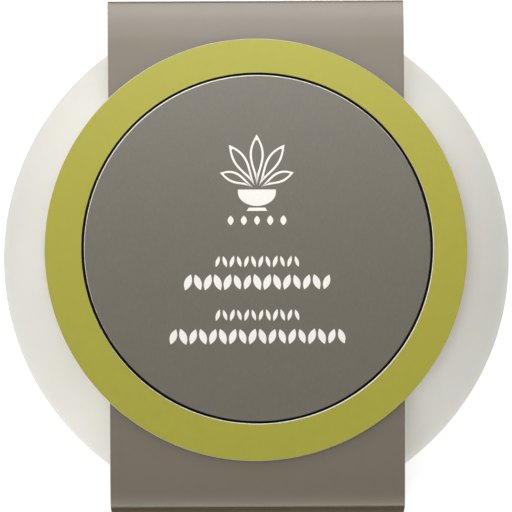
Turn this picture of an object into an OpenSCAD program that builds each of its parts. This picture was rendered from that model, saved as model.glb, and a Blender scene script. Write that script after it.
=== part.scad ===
// Shaving soap puck in a folded card sleeve, with a round three-layer card badge on the front.
// Millimetres. +Z up. The origin is the centre of the sleeve's flat underside.
// The sleeve runs along Y, is open at both X ends, and the puck slides out of it along X.

/* [Soap puck] */
// Diameter of the puck at its equator
soap_d = 62.3; // [55:0.1:76]
// Thickness of the puck between its two flat faces
soap_h = 24; // [20:0.5:30]
// Height of the plain band that the two mould halves leave around the equator
land_h = 0.6; // [0.2:0.1:2]

/* [Card sleeve] */
// Width of the sleeve along X
sleeve_w = 35.9; // [25:0.1:50]
// Thickness of the sleeve's card
card_t = 0.3; // [0.2:0.05:0.5]
// Gap between the puck and the card, so that the puck can slide
slide_gap = 0.1; // [0.05:0.05:0.4]
// Radius of the gentle bend between a flat panel and its crease
bend_r = 15.5; // [10:0.5:20]
// Angle that the card turns through in that bend
bend_a = 17.5; // [5:0.5:20]
// Radius of each crease at the middle of the card
crease_r = 0.45; // [0.3:0.05:1]
// Width of the glued lap on the underside
lap_w = 14; // [8:1:24]
// Width of the glue strip in that lap
seam_glue_w = 10; // [4:1:20]

/* [Badge] */
// Outer diameter of the coloured ring
ring_d = 51.3; // [44:0.1:60]
// Diameter of the hole in the ring
ring_hole_d = 42.7; // [42.1:0.1:43.4]
// Diameter of the round label inside the ring
label_d = 42; // [36:0.1:42.6]
// Diameter of the black disc that carries the ring and the label
backing_d = 48.6; // [46:0.1:50.6]
// Thickness of the black disc
backing_t = 0.25; // [0.15:0.05:0.5]
// Thickness of the ring's board
ring_t = 0.5; // [0.3:0.05:1]
// Thickness of the label's board, a little proud of the ring
label_t = 0.55; // [0.3:0.05:1]
// Thickness of every layer of glue
glue_t = 0.05; // [0.03:0.01:0.1]
// Bevel that the cutting die presses into a board's upper edge
edge_bevel = 0.1; // [0.05:0.01:0.12]
// How far the ring's outline was cut off the sleeve's centre line, along X
ring_shift_x = -0.1; // [-0.5:0.05:0.5]
// The same, along Y
ring_shift_y = 0.45; // [-0.5:0.05:0.5]
// How far the label and the hole around it lie off that line, along X
label_shift_x = 0.1; // [-0.5:0.05:0.5]
// The same, along Y
label_shift_y = 0.6; // [-0.6:0.05:0.6]

/* [Hidden] */

smooth = 180;     // facets of every round outline
arc_steps = 10;   // steps of each arc in the sleeve's section
glue_inset = 0.8; // how far a layer of glue stops short of the edge above it

// Soap: the rim is round from the land to the flat faces.
soap_r = soap_d / 2;
rim_r = (soap_h - land_h) / 2;
rim_centre = soap_r - rim_r;

// Heights, from the table up: outer card, glue, inner card, gap, puck, gap, front card.
flap_z = card_t + glue_t;
soap_z = flap_z + card_t + slide_gap;
equator_z = soap_z + soap_h / 2;
front_z = soap_z + soap_h + slide_gap + card_t;
backing_z = front_z + glue_t;
badge_z = backing_z + backing_t + glue_t;

// Distance from the equator to the middle of each card layer.
front_reach = front_z - card_t / 2 - equator_z;
flap_reach = equator_z - flap_z - card_t / 2;
back_reach = equator_z - card_t / 2;

// Section of the sleeve in the YZ plane. Angles are of the card's outward normal, from +Z towards +Y.
// The card is flat as far as the ring reaches, bends down gently, turns at the crease,
// and bows out to pass the puck's equator.
flat_half = ring_d / 2;
wall_y = soap_r + slide_gap + card_t / 2;
crease_y = flat_half + (bend_r - crease_r) * sin(bend_a);
function crease_z(reach) = reach - bend_r + (bend_r - crease_r) * cos(bend_a);
function bow_a(reach) = 2 * atan((wall_y - crease_y - crease_r) / crease_z(reach));
function bow_r(reach) = crease_z(reach) / sin(bow_a(reach)) + crease_r;

function arc(centre, r, a0, a1) =
    [for (i = [0:arc_steps]) let (a = a0 + (a1 - a0) * i / arc_steps) centre + r * [sin(a), cos(a)]];
// One quarter of the section, off to one side of the card's middle by offset.
function bend(reach, offset) = arc([flat_half, reach - bend_r], bend_r + offset, 0, bend_a);
function wall(reach, offset) = concat(
    arc([crease_y, crease_z(reach)], crease_r + offset, bend_a, 90 - bow_a(reach)),
    arc([wall_y - bow_r(reach), 0], bow_r(reach) + offset, 90 - bow_a(reach), 90)
);
function backwards(points) = [for (i = [len(points) - 1:-1:0]) points[i]];
function flipped(points, sy, sz) = [for (p = points) [sy * p[0], sz * p[1]]];
function skin(points_out, points_in) = concat(points_out, backwards(points_in));

// A strip of card as wide as the sleeve, from its section in the YZ plane about the equator.
module strip(section) {
    translate([-sleeve_w / 2, 0, equator_z])
        rotate([90, 0, 90])
            linear_extrude(sleeve_w) polygon(section);
}

// A round board with the die's bevel on its upper edge.
module board(d, t) {
    rotate_extrude($fn = smooth)
        polygon([[0, 0], [d / 2, 0], [d / 2, t - edge_bevel], [d / 2 - edge_bevel, t], [0, t]]);
}

// What the punch takes out of a board: a round hole, with the die's bevel at its upper edge.
module punch(d, t) {
    rotate_extrude($fn = smooth)
        polygon([
            [0, -t], [d / 2, -t], [d / 2, t - edge_bevel], [d / 2 + edge_bevel, t],
            [d / 2 + edge_bevel, 2 * t], [0, 2 * t]
        ]);
}

module soap_puck() {
    color("#ebe6db")
        translate([0, 0, equator_z])
            rotate_extrude($fn = smooth) {
                translate([0, -soap_h / 2]) square([rim_centre, soap_h]);
                translate([0, -land_h / 2]) square([soap_r, land_h]);
                intersection() {
                    union() {
                        translate([rim_centre, land_h / 2]) circle(rim_r, $fn = smooth);
                        translate([rim_centre, -land_h / 2]) circle(rim_r, $fn = smooth);
                    }
                    translate([rim_centre - 1, -soap_h / 2]) square([rim_r + 2, soap_h]);
                }
            }
}

module front_panel() {
    function edge(offset) = concat(
        backwards(flipped(bend(front_reach, offset), -1, 1)), bend(front_reach, offset));
    color("#8f887c") strip(skin(edge(card_t / 2), edge(-card_t / 2)));
}

// A side wall with its two creases, towards +Y or -Y; below is the reach of the panel under it.
module side_panel(side, below) {
    function edge(offset) = concat(
        flipped(wall(front_reach, offset), side, 1),
        backwards(flipped(wall(below, offset), side, -1)));
    color("#857e73") strip(skin(edge(card_t / 2), edge(-card_t / 2)));
}

module upper_side_panel() {
    side_panel(1, flap_reach);
}

module lower_side_panel() {
    side_panel(-1, back_reach);
}

// An underside panel: flat from its free edge, then bent up to its crease.
module underside(side, reach) {
    function edge(offset) = concat(
        [[-side * lap_w / 2, -reach - offset]], flipped(bend(reach, offset), side, -1));
    strip(skin(edge(card_t / 2), edge(-card_t / 2)));
}

module back_panel() {
    color("#8f887c") underside(-1, back_reach);
}

module seam_flap() {
    color("#7d766b") underside(1, flap_reach);
}

module seam_glue() {
    color("#e8e0c4")
        translate([0, 0, card_t + glue_t / 2])
            cube([sleeve_w - 2 * glue_inset, seam_glue_w, glue_t], center = true);
}

// The glue under the black disc covers only the part of it that lies on the sleeve.
module backing_glue() {
    color("#e8e0c4")
        translate([0, 0, front_z])
            intersection() {
                cylinder(h = glue_t, d = backing_d - 2 * glue_inset, $fn = smooth);
                translate([0, 0, glue_t / 2])
                    cube([sleeve_w - 2 * glue_inset, backing_d, glue_t], center = true);
            }
}

module backing_disc() {
    color("#16130f")
        translate([0, 0, backing_z]) cylinder(h = backing_t, d = backing_d, $fn = smooth);
}

module ring_glue() {
    color("#e8e0c4")
        translate([0, 0, badge_z - glue_t])
            rotate_extrude($fn = smooth)
                translate([ring_hole_d / 2 + glue_inset, 0])
                    square([(backing_d - ring_hole_d) / 2 - 2 * glue_inset, glue_t]);
}

module accent_ring() {
    color("#aaa644")
        difference() {
            translate([ring_shift_x, ring_shift_y, badge_z]) board(ring_d, ring_t);
            translate([label_shift_x, label_shift_y, badge_z]) punch(ring_hole_d, ring_t);
        }
}

module label_glue() {
    color("#e8e0c4")
        translate([label_shift_x, label_shift_y, badge_z - glue_t])
            cylinder(h = glue_t, d = label_d - 2 * glue_inset, $fn = smooth);
}

module label_disc() {
    color("#7a7468")
        translate([label_shift_x, label_shift_y, badge_z]) board(label_d, label_t);
}

soap_puck();
front_panel();
upper_side_panel();
lower_side_panel();
back_panel();
seam_flap();
seam_glue();
backing_glue();
backing_disc();
ring_glue();
accent_ring();
label_glue();
label_disc();
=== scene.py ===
"""Looks of a pressed shaving soap puck in a folded card sleeve with a round card badge.

The sleeve, soap, ring and label are rebuilt here inside the frame's solids, with cut edges, creases,
print and mould marks. The frame's own solids keep the layers that only show at an edge.
"""

import math

import bmesh
import bpy
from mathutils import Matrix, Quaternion, Vector, noise


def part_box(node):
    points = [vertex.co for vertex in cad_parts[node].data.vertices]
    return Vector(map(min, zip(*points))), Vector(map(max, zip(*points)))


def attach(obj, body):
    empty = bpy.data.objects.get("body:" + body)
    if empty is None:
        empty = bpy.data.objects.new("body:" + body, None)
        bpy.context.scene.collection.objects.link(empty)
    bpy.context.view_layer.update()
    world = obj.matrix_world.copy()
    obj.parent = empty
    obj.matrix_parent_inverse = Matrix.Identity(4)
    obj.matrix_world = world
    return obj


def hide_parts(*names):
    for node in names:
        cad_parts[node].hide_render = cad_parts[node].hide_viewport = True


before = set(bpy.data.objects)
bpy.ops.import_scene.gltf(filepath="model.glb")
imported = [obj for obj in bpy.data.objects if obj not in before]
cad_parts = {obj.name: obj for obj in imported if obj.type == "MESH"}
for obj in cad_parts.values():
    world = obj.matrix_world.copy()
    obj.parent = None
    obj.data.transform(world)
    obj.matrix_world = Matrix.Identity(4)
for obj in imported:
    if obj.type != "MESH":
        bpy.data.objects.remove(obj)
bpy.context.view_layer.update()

MM = 0.001

# ---------------------------------------------------------------- sizes, in metres

SOAP_LOW, SOAP_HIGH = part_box("soap_puck")
FRONT_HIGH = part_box("front_panel")[1]
WALL_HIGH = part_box("upper_side_panel")[1]
FLAP_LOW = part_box("seam_flap")[0]
BACK_LOW, BACK_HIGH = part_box("back_panel")
SEAM_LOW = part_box("seam_glue")[0]
RING_LOW, RING_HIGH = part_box("accent_ring")
LABEL_LOW, LABEL_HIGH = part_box("label_disc")

SOAP_R = SOAP_HIGH.x
SOAP_HALF = (SOAP_HIGH.z - SOAP_LOW.z) / 2
EQUATOR = (SOAP_HIGH.z + SOAP_LOW.z) / 2
LAND_HALF = 0.3 * MM  # half the plain band that the two mould halves leave round the equator

RING_R = (RING_HIGH.x - RING_LOW.x) / 2
HOLE_R = 21.35 * MM
LABEL_R = (LABEL_HIGH.x - LABEL_LOW.x) / 2
RING_AT = Vector(((RING_HIGH.x + RING_LOW.x) / 2, (RING_HIGH.y + RING_LOW.y) / 2, 0))
LABEL_AT = Vector(((LABEL_HIGH.x + LABEL_LOW.x) / 2, (LABEL_HIGH.y + LABEL_LOW.y) / 2, 0))

CARD = SEAM_LOW.z - BACK_LOW.z
SLEEVE_HALF = FRONT_HIGH.x
WALL_Y = WALL_HIGH.y - CARD / 2
TAPER = 0.003  # how much wider the blank gets for each unit of its length towards +Y

# The sleeve is flat under the ring, bends gently, and folds at a scored crease. The crease is sharper
# than the frame's, and the flat part is a little longer, so that both fold at the same place.
FLAT_HALF = RING_R + 0.2 * MM
BEND_R = 15.5 * MM
BEND_A = math.radians(17.5)
CREASE_R = 0.2 * MM

ROUND = 288            # steps round a disc's outline
CUT_ROUND = 0.03 * MM  # facet along a board's lower edge, and flat margin along its printed one
CUT_BEVEL = 0.03 * MM  # how far the die presses a printed edge in, which bares the core
BEVEL_DROP = 0.1 * MM  # how far down the bared core slopes before the edge is square
# The die leans a little, so a printed face is cut this far off the board under it.
CUT_LEAN = Vector((0.05 * MM, -0.09 * MM, 0))
# The ring's outside is cut nearly upright.
RING_LEAN = CUT_LEAN * 0.2


# ---------------------------------------------------------------- colour and node helpers

def linear(hex_colour):
    """An sRGB hex colour as linear RGBA."""
    parts = [int(hex_colour[i:i + 2], 16) / 255 for i in (1, 3, 5)]
    return tuple(c / 12.92 if c <= 0.04045 else ((c + 0.055) / 1.055) ** 2.4 for c in parts) + (1.0,)


def add(tree, kind, inputs=None, **settings):
    """Adds a node: settings are its properties, inputs are values or other nodes' output sockets."""
    made = tree.nodes.new(kind)
    for name, value in settings.items():
        setattr(made, name, value)
    for name, value in (inputs or {}).items():
        if isinstance(value, bpy.types.NodeSocket):
            tree.links.new(value, made.inputs[name])
        else:
            made.inputs[name].default_value = value
    return made


def new_material(name):
    """A material with a Principled shader, its tree, and the object's own coordinates."""
    material = bpy.data.materials.new(name)
    material.use_nodes = True
    tree = material.node_tree
    tree.nodes.clear()
    shader = add(tree, "ShaderNodeBsdfPrincipled")
    output = add(tree, "ShaderNodeOutputMaterial", {"Surface": shader.outputs["BSDF"]})
    output.is_active_output = True
    place = add(tree, "ShaderNodeTexCoord").outputs["Object"]
    return material, tree, shader, place


def two_tones(tree, factor, low, high, start=0.3, end=0.7):
    """A colour ramp between two hex colours."""
    ramp = add(tree, "ShaderNodeValToRGB", {"Fac": factor})
    ramp.color_ramp.elements[0].position = start
    ramp.color_ramp.elements[0].color = linear(low)
    ramp.color_ramp.elements[1].position = end
    ramp.color_ramp.elements[1].color = linear(high)
    return ramp.outputs["Color"]


# ---------------------------------------------------------------- materials

def pressed_soap():
    """Milled and pressed soap: dense, waxy and a little translucent, so its shadows fill with light."""
    material, tree, shader, place = new_material("pressed_white_soap")
    cloud = add(tree, "ShaderNodeTexNoise", {"Vector": place, "Scale": 1 / (9 * MM), "Detail": 2.0})
    shader.inputs["Subsurface Weight"].default_value = 0.35
    shader.inputs["Subsurface Radius"].default_value = (1.0, 0.8, 0.55)
    shader.inputs["Subsurface Scale"].default_value = 1.6 * MM
    shader.inputs["IOR"].default_value = 1.45
    shader.inputs["Specular IOR Level"].default_value = 0.3
    colour = two_tones(tree, cloud.outputs["Fac"], "#efece2", "#f1efe8")
    tree.links.new(colour, shader.inputs["Base Color"])
    # A waxy skin with faint bloom: soft patches of gloss about 4 mm across.
    bloom = add(tree, "ShaderNodeTexNoise", {"Vector": place, "Scale": 1 / (4 * MM), "Detail": 3.0})
    gloss = add(tree, "ShaderNodeMapRange",
                {"Value": bloom.outputs["Fac"], "To Min": 0.52, "To Max": 0.66})
    tree.links.new(gloss.outputs["Result"], shader.inputs["Roughness"])
    # Fine grain of the pressed noodles, drawn at 0.35 mm so that it shows.
    grain = add(tree, "ShaderNodeTexNoise", {"Vector": place, "Scale": 1 / (0.35 * MM), "Detail": 4.0})
    bump = add(tree, "ShaderNodeBump",
               {"Height": grain.outputs["Fac"], "Strength": 0.10, "Distance": 0.03 * MM})
    tree.links.new(bump.outputs["Normal"], shader.inputs["Normal"])
    return material


def printed_board(name, low, high, roughness, fibre_mm, bump_strength, worn=0.0, gloss_level=0.84):
    """Folding boxboard, offset printed and satin varnished: even colour, a low gloss and a faint fibre."""
    material, tree, shader, place = new_material(name)
    # Ink mottle, drawn at about a millimetre.
    mottle = add(tree, "ShaderNodeTexNoise", {"Vector": place, "Scale": 1 / (1.1 * MM), "Detail": 5.0})
    colour = two_tones(tree, mottle.outputs["Fac"], low, high)
    if worn:
        # Along a crease the ink cracks in hairlines and the white core shows through.
        fold = add(tree, "ShaderNodeAttribute", attribute_name="fold")
        crack = add(tree, "ShaderNodeTexNoise", {"Vector": place, "Scale": 1 / (0.16 * MM), "Detail": 4.0})
        spread = add(tree, "ShaderNodeMapRange",
                     {"Value": crack.outputs["Fac"], "From Min": 0.42, "From Max": 0.72, "To Max": worn})
        amount = add(tree, "ShaderNodeMath",
                     {0: spread.outputs["Result"], 1: fold.outputs["Fac"]}, operation="MULTIPLY")
        mix = add(tree, "ShaderNodeMix", {"Factor": amount.outputs["Value"], 6: colour}, data_type="RGBA")
        mix.inputs[7].default_value = linear("#d9d4c8")
        colour = mix.outputs[2]
    tree.links.new(colour, shader.inputs["Base Color"])
    shader.inputs["IOR"].default_value = 1.6
    shader.inputs["Specular IOR Level"].default_value = gloss_level
    # The varnish lies unevenly, in patches about 3 mm across.
    uneven = 0.03
    patch = add(tree, "ShaderNodeTexNoise", {"Vector": place, "Scale": 1 / (3 * MM), "Detail": 3.0})
    gloss = add(tree, "ShaderNodeMapRange",
                {"Value": patch.outputs["Fac"], "To Min": roughness - uneven, "To Max": roughness + uneven})
    tree.links.new(gloss.outputs["Result"], shader.inputs["Roughness"])
    fibre = add(tree, "ShaderNodeTexNoise", {"Vector": place, "Scale": 1 / (fibre_mm * MM), "Detail": 2.0})
    bump = add(tree, "ShaderNodeBump",
               {"Height": fibre.outputs["Fac"], "Strength": bump_strength, "Distance": 0.02 * MM})
    tree.links.new(bump.outputs["Normal"], shader.inputs["Normal"])
    return material


def felt_marked_board():
    """Felt-marked board printed taupe and varnished: soft flecks drawn out along the paper's grain."""
    material, tree, shader, place = new_material("felt_marked_taupe_board")
    # Flecks 0.22 mm wide and twice as long, over soft clouds of 2.6 mm.
    along = add(tree, "ShaderNodeMapping", {"Vector": place, "Scale": (1.0, 0.45, 1.0)})
    fleck = add(tree, "ShaderNodeTexNoise",
                {"Vector": along.outputs["Vector"], "Scale": 1 / (0.22 * MM),
                 "Detail": 3.0, "Roughness": 0.7})
    cloud = add(tree, "ShaderNodeTexNoise", {"Vector": place, "Scale": 1 / (2.6 * MM), "Detail": 2.0})
    height = add(tree, "ShaderNodeMath",
                 {0: cloud.outputs["Fac"], 1: 0.25, 2: fleck.outputs["Fac"]}, operation="MULTIPLY_ADD")
    colour = two_tones(tree, height.outputs["Value"], "#3f3619", "#4c4121", 0.42, 0.82)
    tree.links.new(colour, shader.inputs["Base Color"])
    shader.inputs["IOR"].default_value = 1.65
    shader.inputs["Specular IOR Level"].default_value = 0.9
    gloss = add(tree, "ShaderNodeMapRange",
                {"Value": fleck.outputs["Fac"], "To Min": 0.28, "To Max": 0.34})
    tree.links.new(gloss.outputs["Result"], shader.inputs["Roughness"])
    bump = add(tree, "ShaderNodeBump",
               {"Height": fleck.outputs["Fac"], "Strength": 0.36, "Distance": 0.03 * MM})
    tree.links.new(bump.outputs["Normal"], shader.inputs["Normal"])
    return material


def raw_fibre(name, low, high, fibre_mm=0.09):
    """Unprinted paper fibre: the cut edge or the uncoated back of a board, matt and faintly layered."""
    material, tree, shader, place = new_material(name)
    layer = add(tree, "ShaderNodeMapping", {"Vector": place, "Scale": (1.0, 1.0, 3.0)})
    fibre = add(tree, "ShaderNodeTexNoise",
                {"Vector": layer.outputs["Vector"], "Scale": 1 / (fibre_mm * MM), "Detail": 4.0})
    colour = two_tones(tree, fibre.outputs["Fac"], low, high)
    tree.links.new(colour, shader.inputs["Base Color"])
    shader.inputs["Roughness"].default_value = 0.85
    bump = add(tree, "ShaderNodeBump",
               {"Height": fibre.outputs["Fac"], "Strength": 0.4, "Distance": 0.02 * MM})
    tree.links.new(bump.outputs["Normal"], shader.inputs["Normal"])
    return material


def dried_glue():
    """Dispersion glue dried to a thin cream film, semi-gloss and unevenly spread."""
    material, tree, shader, place = new_material("dried_cream_glue")
    spread = add(tree, "ShaderNodeTexNoise", {"Vector": place, "Scale": 1 / (1.5 * MM), "Detail": 3.0})
    colour = two_tones(tree, spread.outputs["Fac"], "#d9cfae", "#ece5cf")
    tree.links.new(colour, shader.inputs["Base Color"])
    gloss = add(tree, "ShaderNodeMapRange",
                {"Value": spread.outputs["Fac"], "To Min": 0.25, "To Max": 0.5})
    tree.links.new(gloss.outputs["Result"], shader.inputs["Roughness"])
    return material


def screen_ink():
    """Opaque cream-white screen ink: a thick matt film that takes on a little of the board's tooth."""
    material, tree, shader, place = new_material("cream_screen_ink")
    tooth = add(tree, "ShaderNodeTexNoise", {"Vector": place, "Scale": 1 / (0.12 * MM), "Detail": 3.0})
    colour = two_tones(tree, tooth.outputs["Fac"], "#f0ece2", "#faf8f2")
    tree.links.new(colour, shader.inputs["Base Color"])
    shader.inputs["Roughness"].default_value = 0.6
    bump = add(tree, "ShaderNodeBump",
               {"Height": tooth.outputs["Fac"], "Strength": 0.15, "Distance": 0.01 * MM})
    tree.links.new(bump.outputs["Normal"], shader.inputs["Normal"])
    return material


def light_table():
    """A white acrylic light table: it glows a little, so that shadows on it stay faint."""
    material, _, shader, _ = new_material("white_light_table")
    shader.inputs["Base Color"].default_value = linear("#e7e7e7")
    shader.inputs["Roughness"].default_value = 0.6
    shader.inputs["Emission Color"].default_value = (1.0, 1.0, 1.0, 1.0)
    shader.inputs["Emission Strength"].default_value = 0.57
    return material


def black_flag():
    """Black velvet on a studio flag."""
    material, tree, shader, place = new_material("black_velvet")
    nap = add(tree, "ShaderNodeTexNoise", {"Vector": place, "Scale": 1 / (0.5 * MM), "Detail": 2.0})
    colour = two_tones(tree, nap.outputs["Fac"], "#050505", "#0a0a0a")
    tree.links.new(colour, shader.inputs["Base Color"])
    shader.inputs["Roughness"].default_value = 0.95
    shader.inputs["Specular IOR Level"].default_value = 0.1
    return material


SOAP = pressed_soap()
TAUPE = printed_board("satin_taupe_boxboard", "#5d5039", "#60523b",
                      roughness=0.31, fibre_mm=0.25, bump_strength=0.02, worn=0.2)
LIME = printed_board("satin_lime_boxboard", "#a19c02", "#a49f02",
                     roughness=0.31, fibre_mm=0.25, bump_strength=0.015, gloss_level=0.53)
# The black card is dyed through and left unvarnished, so it is matt. It shows only down the narrow groove
# round the label, where its near-black colour also serves as painted shade for the groove.
BLACK_CARD_AND_GROOVE_SHADE = printed_board("black_card_groove_shade", "#040404", "#080707",
                      roughness=0.85, fibre_mm=0.2, bump_strength=0.3, gloss_level=0.22)
LABEL = felt_marked_board()
CORE = raw_fibre("white_board_core", "#e9e6de", "#f7f5f0")
BOARD_BACK = raw_fibre("uncoated_board_back", "#d6d2c8", "#e4e1d9", fibre_mm=0.2)
GLUE = dried_glue()
INK = screen_ink()


# ---------------------------------------------------------------- mesh helpers

def mesh_piece(name, points, faces, materials, slots=None, fold=None):
    """A smooth-shaded mesh object at the origin; slots gives each face's material."""
    mesh = bpy.data.meshes.new(name)
    mesh.from_pydata(points, [], faces)
    for material in materials:
        mesh.materials.append(material)
    mesh.polygons.foreach_set("use_smooth", [True] * len(faces))
    if slots:
        mesh.polygons.foreach_set("material_index", slots)
    if fold:
        mesh.attributes.new("fold", "FLOAT", "POINT").data.foreach_set("value", fold)
    mesh.update()
    piece = bpy.data.objects.new(name, mesh)
    bpy.context.scene.collection.objects.link(piece)
    return piece


def finish_piece(piece, body, slot, *nodes):
    """Points the faces outward, then puts the piece on its body."""
    shape = bmesh.new()
    shape.from_mesh(piece.data)
    bmesh.ops.recalc_face_normals(shape, faces=shape.faces)
    shape.to_mesh(piece.data)
    shape.free()
    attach(piece, body)
    if nodes:
        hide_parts(*nodes)
    return piece


def lathe(name, outline, materials, slots, closed):
    """Turns an outline of (radius, height, centre) about the verticals through its centres.

    A closed outline makes a ring. An open one starts and ends on the axis, and makes a solid.
    slots gives the material of the band between each outline point and the next.
    """
    points = []
    rings = []
    for radius, height, centre in outline:
        if radius == 0:
            rings.append([len(points)])
            points.append((centre.x, centre.y, height))
            continue
        rings.append(list(range(len(points), len(points) + ROUND)))
        for step in range(ROUND):
            turn = 2 * math.pi * step / ROUND
            points.append((centre.x + radius * math.cos(turn), centre.y + radius * math.sin(turn), height))
    if closed:
        rings.append(rings[0])
    faces = []
    face_slots = []
    for band, (above, below) in enumerate(zip(rings, rings[1:])):
        for step in range(ROUND):
            after = (step + 1) % ROUND
            if len(above) == 1:
                faces.append((above[0], below[step], below[after]))
            elif len(below) == 1:
                faces.append((above[step], below[0], above[after]))
            else:
                faces.append((above[step], below[step], below[after], above[after]))
            face_slots.append(slots[band])
    return mesh_piece(name, points, faces, materials, face_slots)


def arc(centre, radius, start, end, steps):
    """Points on an arc, with angles measured from straight up towards the first axis."""
    angles = [start + (end - start) * step / steps for step in range(steps + 1)]
    return [(centre[0] + radius * math.sin(a), centre[1] + radius * math.cos(a)) for a in angles]


# ---------------------------------------------------------------- soap

def soap_puck():
    """The pressed puck: flat faces, a full round rim, and the mould's land round its equator."""
    face_rings = 14
    rim_steps = 56
    rim = SOAP_HALF - LAND_HALF
    flat = SOAP_R - rim
    face = [(flat * step / face_rings, SOAP_HALF) for step in range(face_rings)]
    outline = face + arc((flat, LAND_HALF), rim, 0, math.pi / 2, rim_steps)
    outline += [(r, -z) for r, z in reversed(outline)]
    outline = [(r, EQUATOR + z, Vector((0, 0, 0))) for r, z in outline]
    puck = lathe("pressed_soap", outline, [SOAP], [0] * (len(outline) - 1), closed=False)
    # Pressed soap is never quite true: it swells and sinks by a few hundredths of a millimetre, in broad
    # waves with finer ones on them. It is smaller by the broad waves' height, so that it keeps its gap.
    broad_wave, broad_swell = 11 * MM, 0.030 * MM
    fine_wave, fine_swell = 3.5 * MM, 0.010 * MM
    middle = Vector((0, 0, EQUATOR))
    for vertex in puck.data.vertices:
        outward = (vertex.co - middle).normalized()
        broad = noise.noise(vertex.co / broad_wave) * broad_swell
        fine = noise.noise(vertex.co / fine_wave) * fine_swell
        vertex.co += outward * (broad + fine - broad_swell)
    return finish_piece(puck, "puck", "soap", "soap_puck")


# ---------------------------------------------------------------- card sleeve

def quarter(reach):
    """Stations along the middle of the card from a flat panel's end to the puck's equator.

    reach is the panel's distance from the equator. Each station is (across, up, normal's angle, fold).
    """
    crease_across = FLAT_HALF + (BEND_R - CREASE_R) * math.sin(BEND_A)
    crease_up = reach - BEND_R + (BEND_R - CREASE_R) * math.cos(BEND_A)
    lean = 2 * math.atan((WALL_Y - crease_across - CREASE_R) / crease_up)
    bow = crease_up / math.sin(lean) + CREASE_R
    # The gentle bend, the crease and the bowed wall: each arc's centre, radius, two angles and steps.
    parts = [
        ((FLAT_HALF, reach - BEND_R), BEND_R, 0.0, BEND_A, 24),
        ((crease_across, crease_up), CREASE_R, BEND_A, math.pi / 2 - lean, 12),
        ((WALL_Y - bow, 0.0), bow, math.pi / 2 - lean, math.pi / 2, 14),
    ]
    stations = []
    for part, (centre, radius, start, end, steps) in enumerate(parts):
        for step, (across, up) in enumerate(arc(centre, radius, start, end, steps)):
            if part and not step:
                continue
            angle = start + (end - start) * step / steps
            fold = math.sin(math.pi * step / steps) if part == 1 else 0.0
            stations.append((across, up, angle, fold))
    return stations


def sleeve_path():
    """Stations (y, z, normal y, normal z, fold) round the sleeve, from the outer free edge to the inner."""
    front = quarter(FRONT_HIGH.z - CARD / 2 - EQUATOR)
    outer = quarter(EQUATOR - BACK_LOW.z - CARD / 2)
    inner = quarter(EQUATOR - FLAP_LOW.z - CARD / 2)

    def turned(stations, side, up):
        return [(side * across, EQUATOR + up * z, side * math.sin(n), up * math.cos(n), fold)
                for across, z, n, fold in stations]

    path = [(BACK_HIGH.y, BACK_LOW.z + CARD / 2, 0.0, -1.0, 0.0)]
    path += turned(outer, -1, -1)
    path += list(reversed(turned(front, -1, 1)))[1:]
    path += turned(front, 1, 1)
    path += list(reversed(turned(inner, 1, -1)))[1:]
    path.append((FLAP_LOW.y, FLAP_LOW.z + CARD / 2, 0.0, -1.0, 0.0))
    return path


def cut_outline(half, depth):
    """The card's own section as (across, depth) points, printed side first, and each band's material."""
    printed, core, back = 0, 1, 2
    edge = [
        (half - CUT_BEVEL - CUT_ROUND, depth), (half - CUT_BEVEL, depth),
        (half, depth - BEVEL_DROP), (half, -depth + CUT_ROUND), (half - CUT_ROUND, -depth),
    ]
    outline = [(-across, d) for across, d in reversed(edge)] + edge
    outline = [(across + CUT_LEAN.x if d == depth else across, d) for across, d in outline]
    slots = [core, core, core, printed, printed, printed, core, core, core, back]
    return outline, slots


def card_sleeve():
    """One die-cut blank, folded round the puck and lapped underneath, as a single sheet of board."""
    points = []
    fold = []
    path = sleeve_path()
    for y, z, normal_y, normal_z, bend in path:
        outline, slots = cut_outline(SLEEVE_HALF + TAPER * y, CARD / 2)
        for across, depth in outline:
            points.append((across, y + normal_y * depth, z + normal_z * depth))
            fold.append(bend if depth > 0 else 0.0)
    around = len(outline)
    faces = []
    face_slots = []
    for station in range(len(path) - 1):
        for k in range(around):
            a = station * around + k
            b = station * around + (k + 1) % around
            faces.append((a, b, b + around, a + around))
            face_slots.append(slots[k])
    faces.append(tuple(range(around)))
    faces.append(tuple(range(len(points) - around, len(points))))
    face_slots += [1, 1]
    sleeve = mesh_piece("card_sleeve", points, faces, [TAUPE, CORE, BOARD_BACK], face_slots, fold)
    return finish_piece(sleeve, "sleeve", "sleeve_card",
                        "front_panel", "upper_side_panel", "lower_side_panel", "back_panel", "seam_flap")


# ---------------------------------------------------------------- badge

def badge_edge(radius, low, high, side, centre, lean=CUT_LEAN):
    """A die-cut edge as (radius, height, centre) points, top down; side is 1 outside and -1 at a hole."""
    return [
        (radius - side * (CUT_BEVEL + CUT_ROUND), high, centre + lean),
        (radius - side * CUT_BEVEL, high, centre + lean),
        (radius, high - BEVEL_DROP, centre),
        (radius, low + CUT_ROUND, centre),
        (radius - side * CUT_ROUND, low, centre),
    ]


# The materials of that edge's bands: the face's own, then the board's core.
EDGE_SLOTS = [0, 1, 1, 1]


def accent_ring():
    """The lime ring: printed face, white core at both cut edges, plain back; its hole is cut off-centre."""
    outside = badge_edge(RING_R, RING_LOW.z, RING_HIGH.z, 1, RING_AT + CUT_LEAN - RING_LEAN, RING_LEAN)
    inside = badge_edge(HOLE_R, RING_LOW.z, RING_HIGH.z, -1, LABEL_AT)
    outline = outside + list(reversed(inside))
    slots = EDGE_SLOTS + [2] + list(reversed(EDGE_SLOTS)) + [0]
    ring = lathe("lime_ring", outline, [LIME, CORE, BOARD_BACK], slots, closed=True)
    return finish_piece(ring, "sleeve", "ring_card", "accent_ring")


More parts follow.
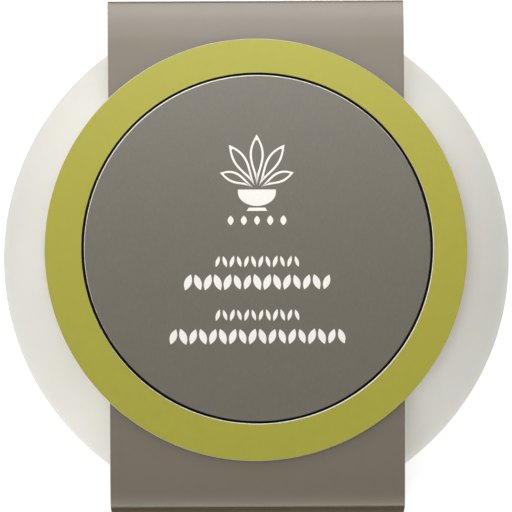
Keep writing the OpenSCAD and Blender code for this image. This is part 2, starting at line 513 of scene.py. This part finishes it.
def label_disc():
    """The label: felt-marked face, white core at its cut edge."""
    outside = badge_edge(LABEL_R, LABEL_LOW.z, LABEL_HIGH.z, 1, LABEL_AT)
    outline = [(0.0, LABEL_HIGH.z, LABEL_AT)] + outside + [(0.0, LABEL_LOW.z, LABEL_AT)]
    slots = [0] + EDGE_SLOTS + [2]
    label = lathe("round_label", outline, [LABEL, CORE, BOARD_BACK], slots, closed=False)
    return finish_piece(label, "sleeve", "label_card", "label_disc")


# ---------------------------------------------------------------- print on the label

INK_FILM = 0.02 * MM


def leaf_half(share, width):
    """Half the width of a leaf at a share of its length: pointed at both ends, fullest past the middle."""
    return 0.5 * width * math.sin(math.pi * share ** 1.4)


def leaf_loop(base, lean, curl, length, width, stroke, steps=18):
    """A leaf's outline drawn in by stroke: up its left side to the tip and down its right side."""
    shares = [step / steps for step in range(steps + 1)]
    if stroke:
        inside = [share for share in shares if leaf_half(share, width) > stroke]
        first, last = inside[0], inside[-1]
        shares = [first + (last - first) * share for share in shares]
    left = []
    right = []
    for share in shares:
        angle = lean + curl * share / 2
        heading = lean + curl * share
        x = base[0] + length * share * math.sin(angle)
        y = base[1] + length * share * math.cos(angle)
        half = max(0.0, leaf_half(share, width) - stroke)
        left.append((x - half * math.cos(heading), y + half * math.sin(heading)))
        right.append((x + half * math.cos(heading), y - half * math.sin(heading)))
    return left + list(reversed(right))


def ink_band(shape, one, other):
    """Adds a closed film of ink between two lines with the same number of points."""
    low = LABEL_HIGH.z - INK_FILM / 2
    high = LABEL_HIGH.z + INK_FILM

    def row(line, z):
        return [shape.verts.new((LABEL_AT.x + x, LABEL_AT.y + y, z)) for x, y in line]

    rows = [row(one, high), row(other, high), row(other, low), row(one, low)]
    for k in range(4):
        here, there = rows[k], rows[(k + 1) % 4]
        for i in range(len(here) - 1):
            shape.faces.new((here[i], here[i + 1], there[i + 1], there[i]))
    shape.faces.new([r[0] for r in rows])
    shape.faces.new([r[-1] for r in rows])


def leaf_emblem():
    """A small aloe: five outlined leaves growing out of a solid bowl on a foot."""
    stroke = 0.26 * MM
    brim = 7.05 * MM  # height of the bowl's brim above the label's middle
    heart = brim - 0.05 * MM
    heart_r = 0.55 * MM
    shape = bmesh.new()
    # Each leaf's lean and curl in degrees, and its length and width in millimetres.
    for lean, curl, length, width in [(0, 0, 6.2, 1.7), (27, 10, 5.9, 1.55), (-27, -10, 5.9, 1.55),
                                      (56, 20, 4.4, 1.35), (-56, -20, 4.4, 1.35)]:
        lean = math.radians(lean)
        curl = math.radians(curl)
        base = (heart_r * math.sin(lean), heart + heart_r * math.cos(lean))
        outer = leaf_loop(base, lean, curl, length * MM, width * MM, 0.0)
        inner = leaf_loop(base, lean, curl, length * MM, width * MM, stroke)
        ink_band(shape, outer, inner)
    # The bowl is half an ellipse under a straight brim; the foot is a short bar under it.
    bowl_half, bowl_wall, bowl_depth = 2.3 * MM, 0.35 * MM, 1.65 * MM
    turns = [math.pi * step / 24 for step in range(25)]
    upper = [(bowl_half * math.cos(turn), brim) for turn in turns]
    lower = [(x, brim - bowl_wall - bowl_depth * math.sin(turn)) for (x, _), turn in zip(upper, turns)]
    ink_band(shape, upper, lower)
    foot_top, foot_bottom = brim - 2.2 * MM, brim - 2.6 * MM
    ink_band(shape, [(-1.0 * MM, foot_top), (1.0 * MM, foot_top)],
             [(-1.25 * MM, foot_bottom), (1.25 * MM, foot_bottom)])
    bmesh.ops.remove_doubles(shape, verts=shape.verts, dist=0.001 * MM)
    bmesh.ops.dissolve_degenerate(shape, edges=shape.edges, dist=0.0005 * MM)
    mesh = bpy.data.meshes.new("leaf_emblem")
    shape.to_mesh(mesh)
    shape.free()
    mesh.materials.append(INK)
    emblem = bpy.data.objects.new("leaf_emblem", mesh)
    bpy.context.scene.collection.objects.link(emblem)
    return finish_piece(emblem, "sleeve", "print_ink")


def marks_tree():
    """Geometry nodes for one printed row: leaf-shaped marks, leaning to and fro, along a straight line."""
    tree = bpy.data.node_groups.new("row_of_leaf_marks", "GeometryNodeTree")
    for name, kind in [("Count", "NodeSocketInt"), ("Row Length", "NodeSocketFloat"),
                       ("Mark Height", "NodeSocketFloat"), ("Mark Width", "NodeSocketFloat"),
                       ("Lean", "NodeSocketFloat"), ("Film", "NodeSocketFloat"), ("Seed", "NodeSocketInt"),
                       ("Place", "NodeSocketVector"), ("Ink", "NodeSocketMaterial")]:
        tree.interface.new_socket(name, in_out="INPUT", socket_type=kind)
    tree.interface.new_socket("Marks", in_out="OUTPUT", socket_type="NodeSocketGeometry")
    given = add(tree, "NodeGroupInput").outputs

    def times(a, b):
        return add(tree, "ShaderNodeMath", {0: a, 1: b}, operation="MULTIPLY").outputs[0]

    end = add(tree, "ShaderNodeCombineXYZ", {"X": times(given["Row Length"], 0.5)}).outputs[0]
    start = add(tree, "ShaderNodeVectorMath", {0: end, "Scale": -1.0}, operation="SCALE").outputs[0]
    line = add(tree, "GeometryNodeMeshLine",
               {"Count": given["Count"], "Start Location": start, "Offset": end},
               mode="END_POINTS", count_mode="TOTAL")
    # One mark: a low cylinder whose sides are drawn in to a pointed leaf.
    blank = add(tree, "GeometryNodeMeshCylinder", {"Vertices": 20, "Radius": 1.0, "Depth": 1.0})
    at = add(tree, "ShaderNodeSeparateXYZ", {0: add(tree, "GeometryNodeInputPosition").outputs[0]})
    breadth = add(tree, "ShaderNodeMath", {0: at.outputs[0]}, operation="ABSOLUTE").outputs[0]
    bulge = times(at.outputs[0], breadth)
    leaf = add(tree, "ShaderNodeCombineXYZ", {
        "X": times(times(bulge, given["Mark Width"]), 0.5),
        "Y": times(times(at.outputs[1], given["Mark Height"]), 0.5),
        "Z": times(at.outputs[2], given["Film"]),
    })
    mark = add(tree, "GeometryNodeSetPosition",
               {"Geometry": blank.outputs["Mesh"], "Position": leaf.outputs[0]})
    # Every second mark leans the other way.
    odd = add(tree, "ShaderNodeMath", {0: add(tree, "GeometryNodeInputIndex").outputs[0], 1: 2.0},
              operation="MODULO").outputs[0]
    side = add(tree, "ShaderNodeMath", {0: odd, 1: 2.0, 2: -1.0}, operation="MULTIPLY_ADD").outputs[0]
    turn = add(tree, "ShaderNodeCombineXYZ", {"Z": times(side, given["Lean"])}).outputs[0]
    size = add(tree, "FunctionNodeRandomValue", {2: 0.93, 3: 1.07, "Seed": given["Seed"]},
               data_type="FLOAT")
    row = add(tree, "GeometryNodeInstanceOnPoints", {
        "Points": line.outputs["Mesh"], "Instance": mark.outputs["Geometry"],
        "Rotation": turn, "Scale": size.outputs[1],
    })
    placed = add(tree, "GeometryNodeTransform",
                 {"Geometry": row.outputs["Instances"], "Translation": given["Place"]})
    real = add(tree, "GeometryNodeRealizeInstances", {"Geometry": placed.outputs["Geometry"]})
    inked = add(tree, "GeometryNodeSetMaterial",
                {"Geometry": real.outputs["Geometry"], "Material": given["Ink"]})
    add(tree, "NodeGroupOutput", {"Marks": inked.outputs["Geometry"]})
    return tree


def printed_row(name, tree, seed, count, length, up, height, width, lean):
    """One row of marks on the label, sizes in millimetres; up is its distance above the label's middle."""
    blank = bpy.data.objects.new(name + "_blank", bpy.data.meshes.new(name + "_blank"))
    bpy.context.scene.collection.objects.link(blank)
    modifier = blank.modifiers.new("marks", "NODES")
    modifier.node_group = tree
    values = {
        "Count": count, "Row Length": length * MM, "Mark Height": height * MM, "Mark Width": width * MM,
        "Lean": math.radians(lean), "Film": INK_FILM, "Seed": seed, "Ink": INK,
        "Place": (LABEL_AT.x, LABEL_AT.y + up * MM, LABEL_HIGH.z + INK_FILM / 4),
    }
    for socket in tree.interface.items_tree:
        if socket.name in values:
            modifier[socket.identifier] = values[socket.name]
    graph = bpy.context.evaluated_depsgraph_get()
    mesh = bpy.data.meshes.new_from_object(blank.evaluated_get(graph))
    mesh.name = name
    bpy.data.objects.remove(blank)
    row = bpy.data.objects.new(name, mesh)
    bpy.context.scene.collection.objects.link(row)
    return finish_piece(row, "sleeve", "print_ink")


def printed_rows():
    """Five rows of marks: a short spaced one, then a fine and a bold one, twice."""
    tree = marks_tree()
    spaced = {"height": 1.2, "width": 0.75, "lean": 0}
    fine = {"height": 1.45, "width": 0.48, "lean": 18}
    bold = {"height": 1.95, "width": 0.85, "lean": 20}
    printed_row("short_row", tree, seed=1, count=5, length=6.4, up=3.3, **spaced)
    printed_row("upper_fine_row", tree, seed=2, count=12, length=9.6, up=-1.7, **fine)
    printed_row("upper_bold_row", tree, seed=3, count=15, length=16.8, up=-4.2, **bold)
    printed_row("lower_fine_row", tree, seed=4, count=12, length=9.6, up=-8.2, **fine)
    printed_row("lower_bold_row", tree, seed=5, count=18, length=20.4, up=-10.8, **bold)


# ---------------------------------------------------------------- frame solids that stay

def finish_hidden_layers():
    """The layers inside the badge and the lap keep their solids, with their own materials."""
    for name in ("seam_glue", "backing_glue", "ring_glue", "label_glue"):
        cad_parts[name].data.materials.clear()
        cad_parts[name].data.materials.append(GLUE)
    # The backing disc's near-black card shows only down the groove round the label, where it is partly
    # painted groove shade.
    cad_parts["backing_disc"].data.materials.clear()
    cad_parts["backing_disc"].data.materials.append(BLACK_CARD_AND_GROOVE_SHADE)


# ---------------------------------------------------------------- studio

def camera():
    """Nearly straight down, from a long way off, a little towards -Y."""
    tilt = math.radians(3.44)
    roll = math.radians(-0.26)
    distance = 0.8
    seen = 63.12 * MM
    aim = Vector((-0.04 * MM, 0.37 * MM, EQUATOR))
    data = bpy.data.cameras.new("camera")
    data.lens = data.sensor_width * distance / seen
    data.clip_start = 0.01
    data.clip_end = 10.0
    made = bpy.data.objects.new("camera", data)
    made.location = aim + distance * Vector((0.0, -math.sin(tilt), math.cos(tilt)))
    made.rotation_mode = "QUATERNION"
    made.rotation_quaternion = Quaternion((1, 0, 0), tilt) @ Quaternion((0, 0, 1), roll)
    bpy.context.scene.collection.objects.link(made)
    bpy.context.scene.camera = made


def softbox(name, place, aim, width, height, radiance):
    """A soft light of even brightness, hidden from the camera itself."""
    data = bpy.data.lights.new(name, "AREA")
    data.shape = "RECTANGLE"
    data.size = width
    data.size_y = height
    data.energy = radiance * math.pi * width * height
    light = bpy.data.objects.new(name, data)
    light.location = place
    light.rotation_mode = "QUATERNION"
    light.rotation_quaternion = (Vector(aim) - Vector(place)).to_track_quat("-Z", "Y")
    light.visible_camera = False
    bpy.context.scene.collection.objects.link(light)


def flat_stage(name, low, high, height, material):
    """A level rectangle that isn't part of the object."""
    mesh = bpy.data.meshes.new(name)
    corners = [(low[0], low[1]), (high[0], low[1]), (high[0], high[1]), (low[0], high[1])]
    mesh.from_pydata([(x, y, height) for x, y in corners], [], [(0, 1, 2, 3)])
    mesh.materials.append(material)
    stage = bpy.data.objects.new(name, mesh)
    bpy.context.scene.collection.objects.link(stage)
    return stage


def studio():
    """Soft light from the front, the left and above, strips over the upper edge, and a white table."""
    scene = bpy.context.scene
    scene.view_settings.view_transform = "Standard"
    world = bpy.data.worlds.new("white_room")
    world.use_nodes = True
    world.node_tree.nodes["Background"].inputs["Color"].default_value = (1.0, 1.0, 1.0, 1.0)
    world.node_tree.nodes["Background"].inputs["Strength"].default_value = 0.09
    scene.world = world
    # Each light's place, what it points at, its width and height, and its radiance.
    middle = (0, 0, 0.01)
    upper_edge = (0, 0.03, 0.02)
    softbox("front_softbox", (-0.03, -0.48, 0.42), middle, 0.50, 0.40, 2.43)
    softbox("left_softbox", (-0.32, -0.32, 0.40), middle, 0.35, 0.35, 1.04)
    softbox("overhead_panel", (-0.23, 0.0, 1.0), (0, 0, 0), 0.90, 0.90, 0.99)
    softbox("upper_strip", (0.0, 0.05, 0.20), upper_edge, 0.20, 0.03, 1.8)
    softbox("middle_strip", (0.0, 0.06, 0.12), upper_edge, 0.08, 0.02, 1.6)
    softbox("near_strip", (0.0, 0.075, 0.085), upper_edge, 0.14, 0.03, 3.8)
    softbox("near_panel", (0.0, 0.085, 0.14), upper_edge, 0.10, 0.10, 0.56)
    # The table lies a hair under the sleeve, so that the two faces don't coincide.
    table_drop = 0.02 * MM
    flat_stage("table_top", (-3, -3), (3, 3), -table_drop, light_table())
    # A black flag lies on the table in front of the lower fold. Only reflections see it: it keeps the
    # table's glow off the fold.
    flag_height = 0.5 * MM
    flag = flat_stage("black_flag", (-0.024, -0.06), (0.024, -0.034), flag_height, black_flag())
    flag.visible_camera = False
    flag.visible_diffuse = False
    flag.visible_shadow = False


camera()
soap_puck()
card_sleeve()
accent_ring()
label_disc()
leaf_emblem()
printed_rows()
finish_hidden_layers()
studio()
